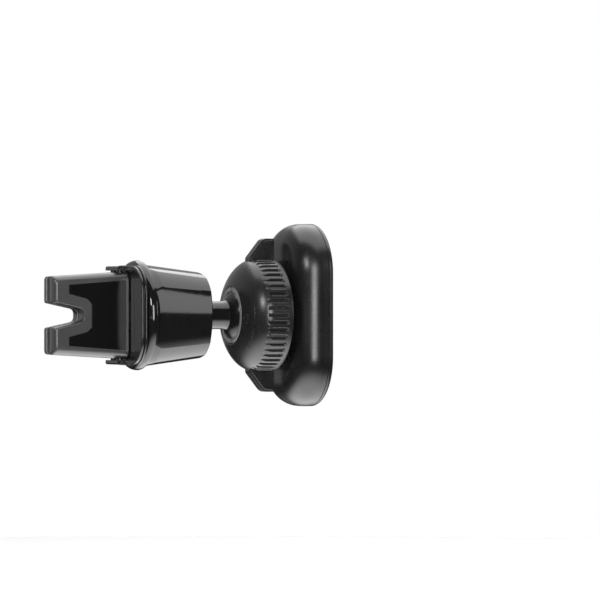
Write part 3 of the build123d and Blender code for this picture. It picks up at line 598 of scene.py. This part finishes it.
# ---- Lock nut -----------------------------------------------------------------------
# The winged nut that clamps the ball, moulded in satin black plastic: a smooth dome, a belt of
# fine grip grooves, a plain rim, two flat wings, and a raised padlock mark with a turning arrow.
nut_satin = moulded("nut_satin", (0.010, 0.010, 0.0105), 0.28, 0.13 * mm, 0.012 * mm, worn=0)
nut_low, nut_high = span("lock_nut")
nut_front = nut_low.x
nut_back = nut_high.x
nut_radius = 15.8
mouth_edge = 8.38
dome_length = nut_back - nut_front - 5.0
groove_count = 48
groove_end = nut_back - 1.5
groove_half = 0.56
groove_depth = 0.58
inner_radius = 13.0


def dome_point(t):
    """The dome's outline, a smooth curve from the mouth's edge to the rim."""
    along = 3 * t * (1 - t) ** 2 * 0.12 + 3 * t**2 * (1 - t) * 0.45 + t**3
    out = 3 * t * (1 - t) ** 2 * 0.38 + 3 * t**2 * (1 - t) + t**3
    return nut_front + along * dome_length, mouth_edge + out * (nut_radius - mouth_edge)


nut_profile = [dome_point(i / 44) for i in range(45)]
last = nut_profile[-1][0]
steps_back = 26
nut_profile += [(last + (nut_back - 0.35 - last) * i / steps_back, nut_radius)
                for i in range(1, steps_back + 1)]
nut_profile += [(nut_back - 0.1, nut_radius - 0.08), (nut_back, nut_radius - 0.3),
                (nut_back, inner_radius + 0.2), (nut_back - 0.2, inner_radius),
                (nut_front + 3.7, inner_radius),
                (nut_front + 3.7, 11.1), (nut_front + 3.35, 11.1), (nut_front + 1.85, 10.4),
                (nut_front + 0.75, 8.0), (nut_front + 0.1, 8.0), (nut_front, 8.08),
                nut_profile[0]]
bm = bmesh.new()
turned(bm, nut_profile, steps=groove_count * 12)
for v in bm.verts:
    x = v.co.x / mm
    reach = hypot(v.co.y, v.co.z) / mm
    if reach < nut_radius - 0.6 or x > groove_end:
        continue
    angle = atan2(v.co.z, v.co.y) * groove_count / (2 * pi)
    across = (angle - round(angle)) / groove_count * 2 * pi * nut_radius
    past = max(0, x - (groove_end - groove_half))
    off = hypot(across, past)
    if off < groove_half:
        deep = min(1, (groove_half - off) / 0.16)
        new = min(reach, nut_radius - groove_depth * deep)
        v.co.y *= new / reach
        v.co.z *= new / reach
finished("lock_nut_dome", bm, "nut", "nut_black", nut_satin, "lock_nut", crease=50)

wing_half = 1.5
wing_top = 3.3
wing_base = 8.0
wing_foot = nut_radius - 1.4
for side, name in ((1, "top"), (-1, "bottom")):
    bm = bmesh.new()
    points = [(nut_back, wing_foot), (nut_back, nut_high.z), (nut_back - wing_top, nut_high.z),
              (nut_back - wing_base, wing_foot + 1.2), (nut_back - wing_base + 0.8, wing_foot)]
    face = bm.faces.new([bm.verts.new(Vector((x, -wing_half, z)) * mm) for x, z in points])
    pulled(bm, [face], (0, 2 * wing_half, 0))
    tips = [e for e in bm.edges if abs(e.verts[0].co.y - e.verts[1].co.y) > mm]
    top_tips = [e for e in tips if e.verts[0].co.z > (nut_high.z - 0.1) * mm]
    top_tips = [e for e in top_tips if e.verts[0].co.x < (nut_back - 1) * mm]
    front_tips = [e for e in tips if e.verts[0].co.x < (nut_back - wing_base + 0.1) * mm]
    bmesh.ops.bevel(bm, geom=top_tips + front_tips, offset=1.0 * mm, affect="EDGES", segments=5,
                    profile=0.5, material=-1)
    # a shallow panel in each flat face leaves a raised rim
    flats = [f for f in bm.faces if abs(f.normal.y) > 0.9]
    bmesh.ops.inset_region(bm, faces=flats, thickness=0.55 * mm, depth=0)
    bmesh.ops.inset_region(bm, faces=flats, thickness=0.12 * mm, depth=-0.28 * mm)
    if side < 0:
        bmesh.ops.scale(bm, vec=(1, 1, -1), verts=bm.verts)
    bmesh.ops.recalc_face_normals(bm, faces=bm.faces)
    wing = finished("lock_nut_wing_" + name, bm, "nut", "nut_black", nut_satin, "lock_nut")
    eased(wing, 0.3, 3, 50)

# raised mark: a padlock, and beside it a tapering arc that ends in an arrowhead
mark_angle = radians(-5)
mark_t = 0.22
mark_radius = 10.4


def on_dome(u, w, t=mark_t, angle=mark_angle):
    """A place on the dome: u along its outline, w above it, in mm, at an angle below -Y."""
    x, r = dome_point(t)
    ahead, up = dome_point(t + 0.02)
    run = hypot(ahead - x, up - r)
    step = Vector(((ahead - x) / run, (up - r) / run))
    x, r = x + step.x * u - step.y * w, r + step.y * u + step.x * w
    return Vector((x, -r * cos(angle), r * sin(angle))) * mm


def swept(bm, rows):
    """Skin rows of corners into a closed bar."""
    previous = None
    for places in rows:
        row = [bm.verts.new(place) for place in places]
        if previous:
            for k in range(4):
                bm.faces.new((previous[k], previous[(k + 1) % 4], row[(k + 1) % 4], row[k]))
        else:
            bm.faces.new(row)
        previous = row
    bm.faces.new(previous)


bm = bmesh.new()
bmesh.ops.create_cube(bm, size=1)
for v in bm.verts:
    v.co = on_dome(-0.25 + v.co.x * 1.3, v.co.z * 0.72, angle=mark_angle + v.co.y * 2.3 / mark_radius)
# its shackle: two short legs and a half circle
bow_corners = ((0.42, -0.2), (0.42, 0.32), (0.85, 0.32), (0.85, -0.2))
bow = []
for turn, leg in [(0, 0.3)] + [(pi * i / 14, 0) for i in range(15)] + [(pi, 0.3)]:
    bow.append([on_dome(leg - 0.85 - out * sin(turn), w,
                        angle=mark_angle + out * cos(turn) / mark_radius)
                for out, w in bow_corners])
swept(bm, bow)
bmesh.ops.recalc_face_normals(bm, faces=bm.faces)
mark = finished("nut_padlock_mark", bm, "nut", "nut_black", nut_satin)
eased(mark, 0.06, 2)

arc_t = 0.39
rows = []
for i in range(41):
    share = i / 40
    wide = 0.72 * sin(pi * min(1, share * 1.02)) ** 0.7 + 0.04
    if share > 0.9:
        wide = 0.9 * (1 - share) / 0.1 + 0.02
    rows.append([on_dome(u, w, arc_t, radians(44 - 98 * share))
                 for u, w in ((-wide, -0.15), (-wide * 0.75, 0.3), (wide * 0.75, 0.3), (wide, -0.15))])
bm = bmesh.new()
swept(bm, rows)
bmesh.ops.recalc_face_normals(bm, faces=bm.faces)
finished("nut_turning_arrow", bm, "nut", "nut_black", nut_satin, crease=60)

# ---- Magnetic head: back shell --------------------------------------------------------
# The head's deep back shell, moulded in fine satin black plastic with a big soft rounding, screwed
# to the socket from inside.
head_satin = moulded("head_satin", (0.006, 0.006, 0.0065), 0.28, 0.12 * mm, 0.008 * mm)
shell_low, shell_high = span("back_shell")
head_corner = 14.0
shell_round = 7.2
bm = bmesh.new()
edges = outline(bm, shell_low.x, shell_high.y, shell_high.z, head_corner, 24)
raised(bm, edges, (shell_high.x - shell_low.x, 0, 0))
bmesh.ops.dissolve_limit(bm, angle_limit=radians(0.5), verts=bm.verts, edges=bm.edges)
rear = [e for e in bm.edges if all(v.co.x < (shell_low.x + 0.01) * mm for v in e.verts)]
bmesh.ops.bevel(bm, geom=rear, offset=shell_round * mm, affect="EDGES", segments=22, profile=0.5,
                material=-1)
shell = finished("head_back_shell", bm, "head", "head_black", head_satin, "back_shell", crease=60)
eased(shell, 0.15, 2, 60)

# ---- Magnetic head: face plate and pad --------------------------------------------------
# A thin rounded front plate snapped into the shell, and a soft black silicone pad set into it that
# the phone rests on.
face_high = span("face_plate")[1]
front = shell_high.x
bm = bmesh.new()
edges = outline(bm, front + 0.06, face_high.y, face_high.z, head_corner, 24)
raised(bm, edges, (face_high.x - front - 0.06, 0, 0))
bmesh.ops.dissolve_limit(bm, angle_limit=radians(0.5), verts=bm.verts, edges=bm.edges)
near_edge = [e for e in bm.edges if all(v.co.x > (face_high.x - 0.01) * mm for v in e.verts)]
bmesh.ops.bevel(bm, geom=near_edge, offset=1.3 * mm, affect="EDGES", segments=8, profile=0.5,
                material=-1)
cover = [f for f in bm.faces if f.normal.x > 0.99 and f.calc_area() > 1e-4]
bmesh.ops.inset_region(bm, faces=cover, thickness=0.85 * mm, depth=0)
bmesh.ops.inset_region(bm, faces=cover, thickness=0.02 * mm, depth=-0.4 * mm)
finished("head_face_plate", bm, "head", "head_black", head_satin, "face_plate", crease=50)

pad_silicone = moulded("pad_silicone", (0.018, 0.018, 0.018), 0.62, 0.25 * mm, 0.03 * mm, 0.35)
pad_high = span("face_pad")[1]
pad_sunk = 0.38
bm = bmesh.new()
edges = outline(bm, face_high.x - pad_sunk, pad_high.y, pad_high.z, 11.8, 24)
raised(bm, edges, (pad_high.x - face_high.x + pad_sunk, 0, 0))
bmesh.ops.dissolve_limit(bm, angle_limit=radians(0.5), verts=bm.verts, edges=bm.edges)
pad = finished("head_face_pad", bm, "head", "pad_rubber", pad_silicone, "face_pad", crease=50)
eased(pad, 0.3, 4, 60)

# ---- Parts that stay as packed ------------------------------------------------------------
# Small steel, nickel and acetal parts, mostly inside: pins, screws, spring, clips, wedge, ball
# liner and seat, magnets with their tray and yoke, and the socket.


def dressed(look, *names):
    """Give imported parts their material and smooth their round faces."""
    for name in names:
        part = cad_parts[name].data
        part.materials.clear()
        part.materials.append(look)
        part.shade_smooth()
        part.set_sharp_from_angle(angle=radians(30))


def metal(name, colour, roughness, brushed):
    """Plated steel or nickel with fine drawn lines and slightly uneven polish."""
    look = moulded(name, colour, roughness, 0.3 * mm, 0.004 * mm, worn=0.1)
    nodes = look.node_tree.nodes
    shader = nodes["Principled BSDF"]
    shader.inputs["Metallic"].default_value = 1
    lines = nodes.new("ShaderNodeMapping")
    lines.inputs["Scale"].default_value = (1, brushed, brushed)
    fine = next(n for n in nodes if n.type == "TEX_NOISE")
    source = fine.inputs["Vector"].links[0].from_socket
    look.node_tree.links.new(source, lines.inputs["Vector"])
    look.node_tree.links.new(lines.outputs["Vector"], fine.inputs["Vector"])
    return look


steel = metal("zinc_steel", (0.52, 0.52, 0.53), 0.30, 6)
nickel = metal("bright_nickel", (0.66, 0.63, 0.58), 0.18, 1)
natural_acetal = moulded("natural_acetal", (0.62, 0.62, 0.58), 0.42, 0.3 * mm, 0.01 * mm)
black_steel = metal("black_oxide_steel", (0.03, 0.03, 0.032), 0.38, 6)
dressed(black_steel, "hinge_pin_left", "hinge_pin_right")
dressed(steel, "retaining_ring", "stud_screws", "jaw_spring",
        "cam_pins", "socket_screws", "steel_yoke", "tray_screws")
dressed(nickel, *["magnet_" + str(n) for n in range(1, 7)])
dressed(natural_acetal, "jaw_wedge", "ball_liner", "seat_pad")
dressed(clip_black, "ball_socket", "magnet_tray")
dressed(panel_black, "jaw_core_left", "jaw_core_right")
